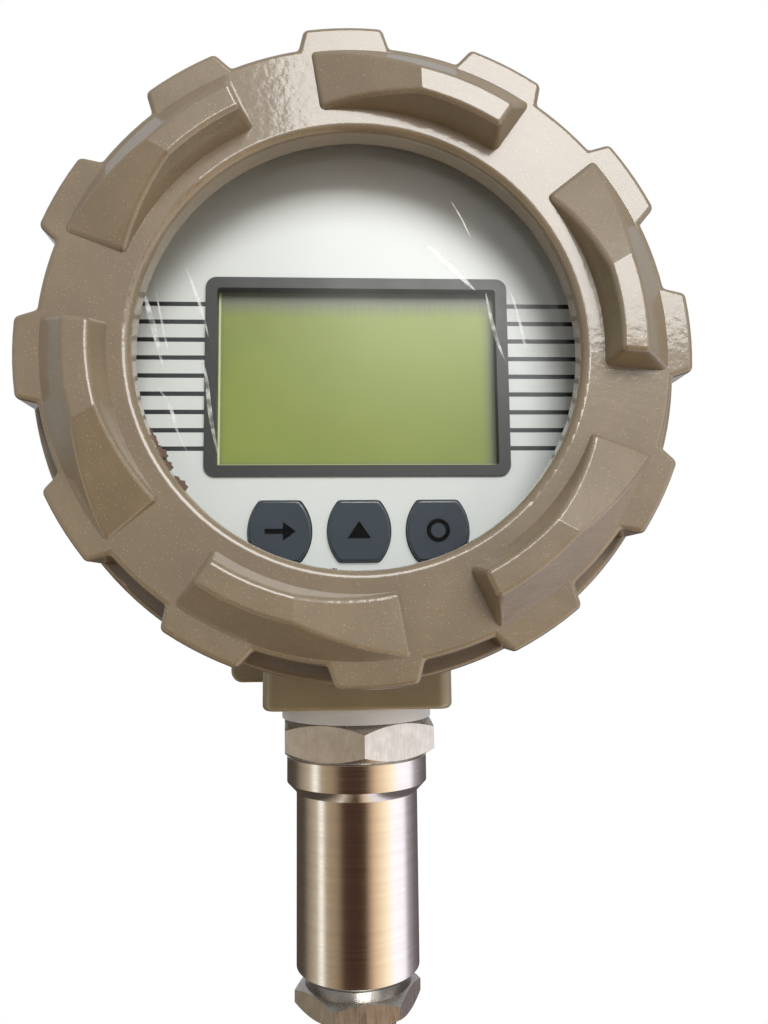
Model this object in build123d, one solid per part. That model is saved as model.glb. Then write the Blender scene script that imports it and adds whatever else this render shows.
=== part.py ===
from build123d import *
import os
from math import atan2, cos, degrees, hypot, radians, sin

# Flow sensor head, in millimetres. The stem stands on the Z axis, the display faces -Y,
# and the origin is the centre of the nose nut's lower face, where the head is screwed in.
# Screwed joints are plain cylinders at the thread's outer size.
thread_gap = 0.05
fit_gap = 0.1

# Threaded nose, nuts, washer and turned stem, from the bottom up
nose_radius = 8.0
nose_length = 12.0
nose_chamfer = 1.0
nose_relief_depth = 0.8
nose_relief_length = 2.0
nose_nut_flats = 24.0
nose_nut_height = 5.0
nose_nut_turn = -112.6
nut_face_share = 0.97
nut_slope = 30.0
step_rise = 1.4
step_length = 2.6
tube_radius = 13.4
tube_length = 37.5
tube_edge = 0.8
collar_rise = 2.1
collar_length = 8.1
collar_cone = 2.2
collar_chamfer = 0.4
neck_nut_flats = 32.0
neck_nut_height = 8.0
neck_nut_turn = -85.8
neck_washer_radius = 16.6
neck_washer_thickness = 3.3
neck_thread_radius = 10.48
neck_thread_depth = 16.0
stem_bore_radius = 4.0

# Pickup in the nose
nose_wall = 2.25
coil_floor = 1.5
coil_length = 20.0
coil_flange = 1.0
coil_tube_wall = 0.8
coil_wire_set_in = 0.5
core_radius = 1.5
magnet_side_gap = 0.75
magnet_length = 6.0
potting_length = 3.4

# Window lip, grip ribs and covers: each radius is the last one and a width, out to the rim
lip_radius = 37.5
lip_round = 1.4
lip_thickness = 4.5
lip_width = 5.4
lip_land = 3.8
rib_inner_flank = 1.3
rib_top_width = 4.3
rib_outer_flank = 5.1
cover_land = 1.0
grip_depth = 3.5
cover_pocket_depth = 8.5
cover_edge = 1.0
cover_wall = 6.5
cover_gap = 0.2
potting_step = 2.1
potting_overlap = 3.1
bore_behind_glass = 1.2
rear_cover_wall = 6.8
rear_panel_set_in = 17.0
rear_panel_recess = 1.5
rear_floor_gap = 0.6
groove_depth = 2.1
groove_width = 2.6
groove_from_flange = 2.0
seal_squeeze = 0.02

# Grip lugs round both covers, and ramped ribs on the front one
lug_count = 12
lug_start = 2.5
lug_tip_half = 6.7
lug_root_half = 8.1
lug_tip_round = 1.2
lug_front_round = 0.9
pocket_round = 0.9
rib_count = 6
rib_first = 30.0
rib_height = 5.3
rib_start_height = 0.5
rib_sink = 2.0
rib_start = 8.8
rib_crease = -13.6
rib_end = -33.3
rib_foot = -34.9
rib_crease_turn = 2.0
rib_start_draft = 30.0
rib_round = 1.0

# Die-cast housing: lengths along the head's axis are counted back from the window's lip
lip_to_stem = 56.6
spigot_wall = 4.0
spigot_gap = 0.5
spigot_chamfer = 0.8
rear_spigot_length = 14.0
barrel_step = 0.5
flange_set_in = 2.0
flange_length = 4.0
flange_edge = 0.8
neck_to_partition = 0.6
partition_thickness = 3.0
block_front_gap = 7.5
block_drop = 14.1
block_width = 39.0
block_depth = 38.2
block_corner = 3.0
block_edge = 1.2
ground_lug_proud = 7.8
ground_lug_depth = 13.2
ground_lug_rise = 4.8
ground_lug_corner = 2.5
ground_lug_edge = 0.8
ground_hole_inset = 8.0
ground_screw_radius = 2.0
ground_screw_depth = 8.0
ground_head_radius = 3.8
ground_head_height = 2.6
ground_washer_radius = 4.8
ground_washer_thickness = 1.0
lock_angle = -60.0
lock_boss_radius = 4.0
lock_boss_length = 12.0
lock_screw_radius = 2.0
lock_screw_length = 9.0
lock_socket_radius = 1.15
entry_thread_radius = 10.0
entry_boss_wall = 4.5
entry_boss_proud = 3.5
entry_set_back = 11.5
entry_plug_length = 9.0
entry_head_flats = 24.0
entry_head_height = 5.0
entry_seal_thickness = 1.5
entry_seal_width = 1.4

# Window
glass_side_gap = 0.4
glass_thickness = 6.0
glass_chamfer = 0.5
gasket_thickness = 0.6
gasket_set_in = 0.4

# Faceplate and display
plate_set_in = 0.3
plate_thickness = 1.0
plate_side_gap = 1.5
display_centre = -1.95
bezel_side_room = 10.05
bezel_end_room = 19.2
bezel_side = 2.1
bezel_end = 2.0
bezel_proud = 0.5
bezel_corner = 2.0
view_corner = 0.6
bezel_tongue_wall = 0.7
display_set_back = 1.9
display_margin = 1.4
display_thickness = 2.2
backlight_thickness = 3.0

# Keys
key_names = ("left_key", "middle_key", "right_key")
key_pitch = 14.0
key_below_bezel = 4.5
key_width = 11.0
key_tall = 10.7
key_flat = 6.8
key_corner = 0.8
key_proud = 1.0
key_edge = 0.35
key_gap = 0.25
key_flange = 0.9
key_flange_thickness = 0.8
key_rest_gap = 0.05
key_stem_radius = 1.5
key_travel = 0.8
plunger_radius = 1.75
plunger_length = 1.9
switch_size = 6.0
switch_height = 3.5
switch_well = 2.1

# Carrier, boards and pillars
carrier_thickness = 1.5
carrier_side_gap = 1.2
carrier_wall = 1.8
carrier_boss_radius = 3.0
board_side_gap = 1.0
board_thickness = 1.6
pillar_inset = 2.34
pillar_angle = 33.7
pillar_flats = 5.5
stud_radius = 1.45
stud_length = 3.5
rear_stud_length = 2.2
chip_sizes = ((10.0, 10.0, 1.6, -12.0, 8.0), (7.0, 5.0, 1.5, 12.0, 12.0), (4.0, 9.0, 1.2, 14.0, -8.0))

# Battery, connector, signal lead, feedthrough and terminals
cell_radius = 7.25
cell_end_room = 8.0
cell_height = 14.0
cell_stand_off = 11.4
cell_back_room = 5.4
holder_wall = 1.9
connector_size = (8.0, 6.0, 6.0)
connector_height = -22.0
lead_radius = 1.2
lead_entry_stand_off = 3.5
feedthrough_radius = 5.0
feedthrough_flange = 6.5
feedthrough_flange_thickness = 1.5
feedthrough_height = 20.0
terminal_size = (30.0, 12.0, 11.0)
terminal_height = -6.0
terminal_pitch = 9.0
terminal_screw_radius = 1.8
terminal_screw_depth = 5.0
terminal_wire_radius = 1.6

# Radii worked out from the sizes above
nose_relief_radius = nose_radius - nose_relief_depth
step_radius = nose_radius + step_rise
collar_radius = tube_radius + collar_rise
coil_chamber_radius = nose_radius - nose_wall
magnet_radius = coil_chamber_radius - magnet_side_gap
rib_base_inner = lip_radius + lip_land
rib_top_inner = rib_base_inner + rib_inner_flank
rib_top_outer = rib_top_inner + rib_top_width
rib_base_outer = rib_top_outer + rib_outer_flank
cover_pocket_radius = rib_base_outer + cover_land
cover_rim_radius = cover_pocket_radius + grip_depth
cover_thread_radius = cover_rim_radius - cover_wall
rear_panel_radius = cover_pocket_radius - rear_panel_set_in
chamber_radius = cover_thread_radius - spigot_wall
barrel_radius = cover_thread_radius + barrel_step
flange_radius = cover_rim_radius - flange_set_in
glass_seat_radius = lip_radius + lip_width
glass_radius = glass_seat_radius - glass_side_gap
potting_radius = glass_seat_radius + potting_step
plate_radius = chamber_radius - plate_side_gap
carrier_radius = chamber_radius - carrier_side_gap
board_radius = carrier_radius - carrier_wall - board_side_gap
pillar_circle = board_radius - pillar_inset
pillar_x = pillar_circle * cos(radians(pillar_angle))
pillar_y = pillar_circle * sin(radians(pillar_angle))
pillar_places = [(x * pillar_x, y * pillar_y) for x in (-1, 1) for y in (-1, 1)]
cell_length = 2 * (pillar_x - cell_end_room)
entry_boss_radius = entry_thread_radius + entry_boss_wall
entry_boss_reach = flange_radius + entry_boss_proud
entry_seal_radius = entry_thread_radius + entry_seal_width
ground_lug_reach = block_width / 2 + ground_lug_proud
ground_hole_rise = ground_lug_rise + ground_hole_inset
axis_above_block = barrel_radius + block_drop

# Levels up the stem
nut_top = nose_nut_height
tube_bottom = nut_top + step_length
tube_top = tube_bottom + tube_length
collar_top = tube_top + collar_length
neck_nut_top = collar_top + neck_nut_height
block_bottom = neck_nut_top + neck_washer_thickness
head_axis = block_bottom + axis_above_block
stem_top = block_bottom + neck_thread_depth
coil_bottom = -nose_length + coil_floor
coil_top = coil_bottom + coil_length
magnet_top = coil_top + magnet_length
chamber_top = magnet_top + potting_length

# Depths behind the lip: glass and plate from the front, partition and covers from the stem
glass_front = lip_thickness + gasket_thickness
glass_back = glass_front + glass_thickness
glass_seat_depth = glass_back - potting_overlap
cover_bore_start = glass_back + bore_behind_glass
spigot_front = cover_bore_start + spigot_gap
cover_length = lip_to_stem - block_depth / 2 - block_front_gap
flange_front = cover_length + cover_gap
chamber_back = lip_to_stem + neck_thread_radius + neck_to_partition
partition_back = chamber_back + partition_thickness
entry_depth = partition_back + entry_set_back
rear_flange_back = entry_depth + entry_boss_radius
rear_flange_front = rear_flange_back - flange_length
spigot_back = rear_flange_back + rear_spigot_length
rear_cover_front = rear_flange_back + cover_gap
rear_cover_back = spigot_back + rear_floor_gap + rear_cover_wall
rear_cover_length = rear_cover_back - rear_cover_front
plate_depth = spigot_front + plate_set_in
plate_back = plate_depth + plate_thickness
display_front = plate_depth + display_set_back
backlight_front = display_front + display_thickness
board_front = backlight_front + backlight_thickness
board_back = board_front + board_thickness
cell_depth = chamber_back - cell_radius - cell_back_room
main_back = cell_depth - cell_stand_off
main_front = main_back - board_thickness
switch_front = board_front - switch_height
flange_front_face = plate_back + key_rest_gap
flange_back_face = flange_front_face + key_flange_thickness
plunger_front = switch_front + switch_well - plunger_length - key_travel - fit_gap

# Plate layout
bezel_width = 2 * (lip_radius - bezel_side_room)
bezel_height = 2 * (lip_radius - bezel_end_room)
view_width = bezel_width - 2 * bezel_side
view_height = bezel_height - 2 * bezel_end
display_width = view_width + 2 * display_margin
display_height = view_height + 2 * display_margin
key_height_on_plate = display_centre - bezel_height / 2 - key_below_bezel - key_tall / 2

# The head's own frame: X to the right, Y up, Z out of the window, zero at the window's lip
HEAD = Plane(origin=(0, -lip_to_stem, head_axis), x_dir=(1, 0, 0), z_dir=(0, -1, 0)).location


def turned(*profile):
    """Solid of revolution about Z from (radius, height) points."""
    return revolve(Plane.XZ * make_face(Polyline(*profile, close=True)), axis=Axis.Z)


def behind(*profile):
    """Profile points for the head's frame from (radius, depth behind the lip)."""
    return [(radius, -depth) for radius, depth in profile]


def ring(inner, outer, front, back):
    """Plain ring on the head's axis between two depths."""
    return turned(*behind((inner, front), (outer, front), (outer, back), (inner, back)))


def disc(radius, front, back, x=0.0, y=0.0):
    """Round piece between two depths, its axis along the head's."""
    return Pos(x, y, -(front + back) / 2) * Cylinder(radius, back - front)


def slab(outline, front, back):
    """Flat piece of an outline between two depths."""
    return Pos(0, 0, -back) * extrude(outline, back - front)


def polar(radius, angle):
    return radius * cos(radians(angle)), radius * sin(radians(angle))


def hexagon(flats, height, bore, turn, both_sides=True):
    """Hexagon nut or head from z = 0 upward, its corners turned down by the usual cone."""
    corner_radius = flats / 2 / cos(radians(30))
    face_radius = nut_face_share * flats / 2
    drop = (corner_radius - face_radius) * sin(radians(nut_slope)) / cos(radians(nut_slope))
    prism = extrude(Rot(0, 0, turn) * RegularPolygon(flats / 2, 6, major_radius=False), height)
    bottom = [(face_radius, 0), (corner_radius, drop)] if both_sides else [(corner_radius, 0)]
    cone = turned((0, 0), *bottom, (corner_radius, height - drop), (face_radius, height), (0, height))
    nut = prism & cone
    return nut - Pos(0, 0, height / 2) * Cylinder(bore, height) if bore else nut


def stem_tube():
    """One turned bar: threaded nose with its relief, step, tube, collar and neck thread, bored for the coil."""
    edge = tube_edge
    outside = turned(
        (0, -nose_length),
        (nose_radius - nose_chamfer, -nose_length),
        (nose_radius, nose_chamfer - nose_length),
        (nose_radius, 0),
        (nose_relief_radius, 0),
        (nose_relief_radius, nose_relief_length),
        (nose_radius, nose_relief_length),
        (nose_radius, nut_top),
        (step_radius, nut_top),
        (step_radius, tube_bottom),
        (tube_radius - edge, tube_bottom),
        (tube_radius, tube_bottom + edge),
        (tube_radius, tube_top),
        (collar_radius, tube_top + collar_cone),
        (collar_radius, collar_top - collar_chamfer),
        (collar_radius - collar_chamfer, collar_top),
        (neck_thread_radius, collar_top),
        (neck_thread_radius, stem_top - nose_chamfer),
        (neck_thread_radius - nose_chamfer, stem_top),
        (0, stem_top),
    )
    chamber = turned(
        (0, coil_bottom),
        (coil_chamber_radius, coil_bottom),
        (coil_chamber_radius, chamber_top),
        (0, chamber_top),
    )
    bore = turned((0, chamber_top), (stem_bore_radius, chamber_top), (stem_bore_radius, stem_top), (0, stem_top))
    return outside - chamber - bore


def neck_washer():
    hole = neck_thread_radius + thread_gap
    return turned(
        (hole, neck_nut_top),
        (neck_washer_radius, neck_nut_top),
        (neck_washer_radius, block_bottom),
        (hole, block_bottom),
    )


def pickup_pieces():
    """Pole core, bobbin, winding, magnet and potting, stacked in the nose."""
    tube_inner = core_radius + fit_gap
    tube_outer = tube_inner + coil_tube_wall
    rim = coil_chamber_radius - fit_gap
    low, high = coil_bottom + coil_flange, coil_top - coil_flange
    core = Pos(0, 0, (coil_bottom + coil_top) / 2) * Cylinder(core_radius, coil_length)
    bobbin = turned(
        (tube_inner, coil_bottom),
        (rim, coil_bottom),
        (rim, low),
        (tube_outer, low),
        (tube_outer, high),
        (rim, high),
        (rim, coil_top),
        (tube_inner, coil_top),
    )
    wound = tube_outer + thread_gap
    wire_rim = coil_chamber_radius - coil_wire_set_in
    winding = turned((wound, low), (wire_rim, low), (wire_rim, high), (wound, high))
    magnet = Pos(0, 0, coil_top + magnet_length / 2) * Cylinder(magnet_radius, magnet_length)
    potting = Pos(0, 0, magnet_top + potting_length / 2) * Cylinder(rim, potting_length)
    return {
        "pickup_core": core,
        "pickup_bobbin": bobbin,
        "pickup_winding": winding,
        "pickup_magnet": magnet,
        "pickup_potting": potting,
    }


def seal_groove(flange_face, outward):
    """Ring cut into a spigot beside its flange; outward is -1 towards the window, 1 towards the back."""
    near = flange_face + outward * groove_from_flange
    far = near + outward * groove_width
    return ring(cover_thread_radius - groove_depth, cover_thread_radius + 1, min(near, far), max(near, far))


def cover_seal(flange_face, outward):
    """Round cord ring that fills the groove between the spigot and the cover's bore."""
    bottom = cover_thread_radius - groove_depth
    cord = (groove_depth + thread_gap) / 2 - seal_squeeze
    middle = flange_face + outward * (groove_from_flange + groove_width / 2)
    return Pos(0, 0, -middle) * Torus(bottom + cord + seal_squeeze, cord)


def lock_boss(front, back):
    x, y = polar(cover_thread_radius + lock_screw_radius, lock_angle)
    return disc(lock_boss_radius, front, back, x, y)


def lock_hole(front, back):
    x, y = polar(cover_thread_radius + lock_screw_radius, lock_angle)
    return disc(lock_screw_radius + thread_gap, front, back, x, y)


def neck_block():
    """Square block under the barrel that takes the stem, with the side lug for the ground screw."""
    height = axis_above_block - chamber_radius + block_corner
    block = Box(block_width, height, block_depth)
    block = fillet(block.edges().filter_by(Axis.Y), block_corner)
    block = fillet(block.faces().sort_by(Axis.Y)[0].edges(), block_edge)
    block = Pos(0, height / 2 - axis_above_block, -lip_to_stem) * block
    lug_width = ground_lug_proud + block_corner
    lug_height = height - ground_lug_rise
    lug = Box(lug_width, lug_height, ground_lug_depth)
    low_corner = lug.edges().filter_by(Axis.Z).sort_by(lambda edge: edge.center().X + edge.center().Y)[0]
    lug = fillet(low_corner, ground_lug_corner)
    lug = fillet(lug.faces().sort_by(Axis.X)[0].edges().filter_by(Axis.Y), ground_lug_edge)
    lug = Pos(lug_width / 2 - ground_lug_reach, lug_height / 2 + ground_lug_rise - axis_above_block, -lip_to_stem) * lug
    return block, lug


def housing():
    """Casting with a front and a rear chamber, both spigots, neck block, entry boss and lock bosses."""
    profile = behind(
        (0, spigot_front),
        (cover_thread_radius, spigot_front),
        (cover_thread_radius, flange_front),
        (flange_radius, flange_front),
        (flange_radius, flange_front + flange_length),
        (barrel_radius, flange_front + flange_length),
        (barrel_radius, rear_flange_front),
        (flange_radius, rear_flange_front),
        (flange_radius, rear_flange_back),
        (cover_thread_radius, rear_flange_back),
        (cover_thread_radius, spigot_back),
        (0, spigot_back),
    )
    outline = make_face(Polyline(*profile, close=True))
    flange_corners = [v for v in outline.vertices() if v.X > flange_radius - 0.01]
    outline = fillet(flange_corners, flange_edge)
    spigot_ends = [v for v in outline.vertices() if abs(v.X - cover_thread_radius) < 0.01]
    spigot_ends = [v for v in spigot_ends if min(abs(v.Y + spigot_front), abs(v.Y + spigot_back)) < 0.01]
    outline = chamfer(spigot_ends, spigot_chamfer)
    body = revolve(Plane.XZ * outline, axis=Axis.Z)
    block, lug = neck_block()
    entry = Pos(entry_boss_reach / 2, 0, -entry_depth) * Rot(0, 90, 0) * Cylinder(entry_boss_radius, entry_boss_reach)
    front_boss = lock_boss(flange_front, flange_front + lock_boss_length)
    rear_boss = lock_boss(rear_flange_back - lock_boss_length, rear_flange_back)
    body = body + [block, lug, entry, front_boss, rear_boss]
    body -= disc(chamber_radius, spigot_front, chamber_back)
    body -= disc(chamber_radius, partition_back, spigot_back)
    body -= seal_groove(flange_front, -1)
    body -= seal_groove(rear_flange_back, 1)
    body -= lock_hole(flange_front, flange_front + lock_boss_length)
    body -= lock_hole(rear_flange_back - lock_boss_length, rear_flange_back)
    neck_wall = axis_above_block - chamber_radius + block_corner
    neck_hole = Cylinder(neck_thread_radius + thread_gap, neck_wall)
    body -= Pos(0, neck_wall / 2 - axis_above_block, -lip_to_stem) * Rot(90, 0, 0) * neck_hole
    entry_hole = Cylinder(entry_thread_radius + thread_gap, entry_boss_reach)
    body -= Pos(entry_boss_reach / 2, 0, -entry_depth) * Rot(0, 90, 0) * entry_hole
    body -= disc(feedthrough_radius + thread_gap, chamber_back, partition_back, 0, feedthrough_height)
    for x, y in pillar_places:
        body -= disc(stud_radius + thread_gap, chamber_back, chamber_back + rear_stud_length + fit_gap, x, y)
    ground_hole = Cylinder(ground_screw_radius + thread_gap, ground_screw_depth + fit_gap)
    ground_x = -ground_lug_reach + (ground_screw_depth + fit_gap) / 2
    body -= Pos(ground_x, ground_hole_rise - axis_above_block, -lip_to_stem) * Rot(0, 90, 0) * ground_hole
    return body


def grip_lug():
    """One grip lug of the front cover, at angle zero: drafted sides, rounded tip and front edges."""
    root = cover_pocket_radius - 1.5 * cover_edge
    reach = cover_rim_radius + 2.5
    slope = (lug_root_half - lug_tip_half) / (cover_rim_radius - root)
    far_half = lug_tip_half - slope * (reach - cover_rim_radius)
    plan = make_face(
        Polyline((root, -lug_root_half), (root, lug_root_half), (reach, far_half), (reach, -far_half), close=True)
    )
    lug = extrude(plan, -(cover_pocket_depth + 0.3)) & Cylinder(cover_rim_radius, 3 * cover_pocket_depth)
    tips = [edge for edge in lug.edges().filter_by(Axis.Z) if edge.center().X > cover_pocket_radius]
    lug = fillet(tips, lug_tip_round)
    front = [edge for edge in lug.edges() if edge.bounding_box().min.Z > -0.01 and edge.center().X > root + 0.1]
    return fillet(front, lug_front_round)


def cut_end(rib, angle, sense, draft, middle):
    """Rib without what lies beyond a drafted end face at an angle."""
    x, y = polar(middle, angle)
    along = Vector(-sin(radians(angle)), cos(radians(angle)), 0) * sense
    normal = along * cos(radians(draft)) + Vector(0, 0, 1) * sin(radians(draft))
    return split(rib, bisect_by=Plane(origin=(x, y, 0), z_dir=normal), keep=Keep.BOTTOM)


def grip_rib():
    """Curved rib with drafted flanks: it ramps up from one end to a crease, runs level, and ends steeply."""
    section = make_face(
        Polyline(
            (rib_base_inner, -rib_sink),
            (rib_base_inner, 0),
            (rib_top_inner, rib_height),
            (rib_top_outer, rib_height),
            (rib_base_outer, 0),
            (rib_base_outer, -rib_sink),
            close=True,
        )
    )
    spare = 6.0
    arc = rib_start - rib_end + 2 * spare
    rib = Rot(0, 0, rib_end - spare) * revolve(Plane.XZ * section, axis=Axis.Z, revolution_arc=arc)
    middle = (rib_top_inner + rib_top_outer) / 2
    end_draft = degrees(atan2(radians(rib_end - rib_foot) * middle, rib_height))
    rib = cut_end(rib, rib_foot, -1, end_draft, middle)
    rib = cut_end(rib, rib_start, 1, rib_start_draft, middle)
    crease = Vector(*polar(middle, rib_crease), rib_height)
    start = Vector(*polar((rib_base_inner + rib_base_outer) / 2, rib_start), rib_start_height)
    uphill = Vector(-sin(radians(rib_crease_turn)), cos(radians(rib_crease_turn)), 0)
    slope = atan2(rib_height - rib_start_height, (start - crease).dot(uphill))
    normal = uphill * sin(slope) + Vector(0, 0, 1) * cos(slope)
    rib = split(rib, bisect_by=Plane(origin=crease, z_dir=normal), keep=Keep.BOTTOM)
    top_edges = [e for e in rib.edges() if e.bounding_box().max.Z > 0.1 and e.bounding_box().min.Z > -0.05]
    return fillet(top_edges, rib_round)


def nearest(outline, radius, depth):
    return outline.vertices().sort_by_distance((radius, -depth, 0))[0]


def round_pockets(cover):
    """Cover with soft corners where the lugs' sides meet the pocket floors."""
    edges = []
    for edge in cover.edges():
        box = edge.bounding_box()
        middle = edge.center()
        on_floor = abs(hypot(middle.X, middle.Y) - cover_pocket_radius) < 0.12
        if on_floor and box.min.Z > -cover_pocket_depth - 0.05 and box.size.Z > cover_pocket_depth / 2:
            edges.append(edge)
    return fillet(edges, pocket_round)


def front_cover():
    """Screwed ring: window lip, glass seat, thread bore, grip lugs and ribs."""
    bore = cover_thread_radius + thread_gap
    outline = make_face(
        Polyline(
            *behind(
                (lip_radius, 0),
                (cover_pocket_radius, 0),
                (cover_pocket_radius, cover_pocket_depth),
                (cover_rim_radius, cover_pocket_depth),
                (cover_rim_radius, cover_length),
                (bore, cover_length),
                (bore, cover_bore_start),
                (potting_radius, cover_bore_start),
                (potting_radius, glass_seat_depth),
                (glass_seat_radius, glass_seat_depth),
                (glass_seat_radius, lip_thickness),
                (lip_radius, lip_thickness),
            ),
            close=True,
        )
    )
    outline = fillet([nearest(outline, lip_radius, 0)], lip_round)
    outline = fillet([nearest(outline, cover_pocket_radius, 0)], cover_edge)
    rim = [nearest(outline, cover_rim_radius, cover_pocket_depth), nearest(outline, cover_rim_radius, cover_length)]
    outline = fillet(rim, cover_edge)
    outline = chamfer([nearest(outline, bore, cover_length)], spigot_chamfer)
    body = revolve(Plane.XZ * outline, axis=Axis.Z)
    lug, rib = grip_lug(), grip_rib()
    lugs = [Rot(0, 0, lug_start + 360 / lug_count * k) * lug for k in range(lug_count)]
    ribs = [Rot(0, 0, rib_first + 360 / rib_count * k) * rib for k in range(rib_count)]
    return round_pockets(body.fuse(*lugs, *ribs))


def rear_cover():
    """Blind screwed cover with the same grip lugs and a shallow panel, made facing forward and turned round."""
    bore = cover_thread_radius + thread_gap
    outline = make_face(
        Polyline(
            *behind(
                (0, rear_panel_recess),
                (rear_panel_radius, rear_panel_recess),
                (rear_panel_radius, 0),
                (cover_pocket_radius, 0),
                (cover_pocket_radius, cover_pocket_depth),
                (cover_rim_radius, cover_pocket_depth),
                (cover_rim_radius, rear_cover_length),
                (bore, rear_cover_length),
                (bore, rear_cover_wall),
                (0, rear_cover_wall),
            ),
            close=True,
        )
    )
    outline = chamfer([nearest(outline, rear_panel_radius, 0)], cover_edge)
    outline = fillet([nearest(outline, cover_pocket_radius, 0)], cover_edge)
    rim = [nearest(outline, cover_rim_radius, cover_pocket_depth), nearest(outline, cover_rim_radius, rear_cover_length)]
    outline = fillet(rim, cover_edge)
    outline = chamfer([nearest(outline, bore, rear_cover_length)], spigot_chamfer)
    body = revolve(Plane.XZ * outline, axis=Axis.Z)
    lug = grip_lug()
    lugs = [Rot(0, 0, lug_start + 360 / lug_count * k) * lug for k in range(lug_count)]
    cover = round_pockets(body.fuse(*lugs))
    return Pos(0, 0, -rear_cover_back) * Rot(180, 0, 0) * cover


def lock_screws():
    """Socket set screws, one against each cover's end face."""
    x, y = polar(cover_thread_radius + lock_screw_radius, lock_angle)
    socket = extrude(RegularPolygon(lock_socket_radius, 6), lock_screw_length / 3)
    blank = Pos(0, 0, lock_screw_length / 2) * Cylinder(lock_screw_radius, lock_screw_length) - socket
    front = Pos(x, y, -(cover_length + lock_screw_length)) * blank
    rear = Pos(x, y, -(rear_cover_front - lock_screw_length)) * Rot(180, 0, 0) * blank
    return Compound(children=[front, rear])


def window_pieces():
    """Glass with its flat gasket in front and the cast bead round its back edge."""
    middle = -(glass_front + glass_back) / 2
    glass = Pos(0, 0, middle) * Cylinder(glass_radius, glass_thickness)
    glass = chamfer(glass.edges(), glass_chamfer)
    gasket = ring(lip_radius + gasket_set_in, glass_radius - fit_gap, lip_thickness, glass_front)
    potting = ring(glass_radius + thread_gap, potting_radius - thread_gap, glass_seat_depth, glass_back)
    return {"window_glass": glass, "window_gasket": gasket, "window_potting": potting}


def entry_pieces():
    """Blanking plug of the cable entry, with its flat seal."""
    face = entry_boss_reach
    head_bottom = face + entry_seal_thickness
    shank = turned(
        (0, face - entry_plug_length),
        (entry_thread_radius - nose_chamfer, face - entry_plug_length),
        (entry_thread_radius, face - entry_plug_length + nose_chamfer),
        (entry_thread_radius, head_bottom),
        (0, head_bottom),
    )
    head = Pos(0, 0, head_bottom) * hexagon(entry_head_flats, entry_head_height, 0, 0, False)
    hole = entry_thread_radius + thread_gap
    seal = turned((hole, face), (entry_seal_radius, face), (entry_seal_radius, head_bottom), (hole, head_bottom))
    outward = Pos(0, 0, -entry_depth) * Rot(0, 90, 0)
    return {"entry_plug": outward * (shank + head), "entry_seal": outward * seal}


def ground_pieces():
    """Pan head screw and cupped washer on the outer face of the side lug."""
    face = ground_lug_reach
    head_base = face + ground_washer_thickness
    head_top = head_base + ground_head_height
    screw = turned(
        (0, face - ground_screw_depth),
        (ground_screw_radius, face - ground_screw_depth),
        (ground_screw_radius, head_base),
        (ground_head_radius, head_base),
        (ground_head_radius, head_base + ground_head_height / 2),
        (ground_head_radius - ground_head_height / 3, head_top),
        (0, head_top),
    )
    slot_depth = ground_head_height / 2
    slot = Box(2 * ground_head_radius + 1, ground_head_height / 4, slot_depth)
    screw -= Pos(0, 0, head_top - slot_depth / 2) * slot
    hole = ground_screw_radius + thread_gap
    washer = turned((hole, face), (ground_washer_radius, face), (ground_washer_radius, head_base), (hole, head_base))
    outward = Pos(0, ground_hole_rise - axis_above_block, -lip_to_stem) * Rot(0, -90, 0)
    return {"ground_screw": outward * screw, "ground_washer": outward * washer}


def rounded_window(width, height, corner):
    return Pos(0, display_centre) * RectangleRounded(width, height, corner)


def key_outline(grow, corner):
    """Key plan: flat top and bottom, bowed sides."""
    half_flat, half_tall, half_wide = key_flat / 2 + grow, key_tall / 2 + grow, key_width / 2 + grow
    top = Line((-half_flat, half_tall), (half_flat, half_tall))
    right = ThreePointArc((half_flat, half_tall), (half_wide, 0), (half_flat, -half_tall))
    bottom = Line((half_flat, -half_tall), (-half_flat, -half_tall))
    left = ThreePointArc((-half_flat, -half_tall), (-half_wide, 0), (-half_flat, half_tall))
    plan = make_face([top, right, bottom, left])
    return fillet(plan.vertices(), corner)


def key_places():
    middle = (len(key_names) - 1) / 2
    return [((index - middle) * key_pitch, key_height_on_plate) for index in range(len(key_names))]


def faceplate():
    """Round plate with the display opening and the key openings."""
    plan = Circle(plate_radius)
    opening = bezel_tongue_wall + fit_gap
    plan -= rounded_window(view_width + 2 * opening, view_height + 2 * opening, view_corner + opening)
    for x, y in key_places():
        plan -= Pos(x, y) * key_outline(key_gap, key_corner + key_gap)
    return slab(plan, plate_depth, plate_back)


def display_bezel():
    """Dark frame: a flat rim on the plate and a tongue through it down to the display."""
    view = rounded_window(view_width, view_height, view_corner)
    rim = rounded_window(bezel_width, bezel_height, bezel_corner) - view
    wall = bezel_tongue_wall
    tongue = rounded_window(view_width + 2 * wall, view_height + 2 * wall, view_corner + wall) - view
    return slab(rim, plate_depth - bezel_proud, plate_depth) + slab(tongue, plate_depth, display_front)


def display_pieces():
    cell = slab(rounded_window(display_width, display_height, view_corner), display_front, backlight_front)
    light = slab(rounded_window(display_width, display_height, view_corner), backlight_front, board_front)
    return {"display_glass": cell, "display_backlight": light}


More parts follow.
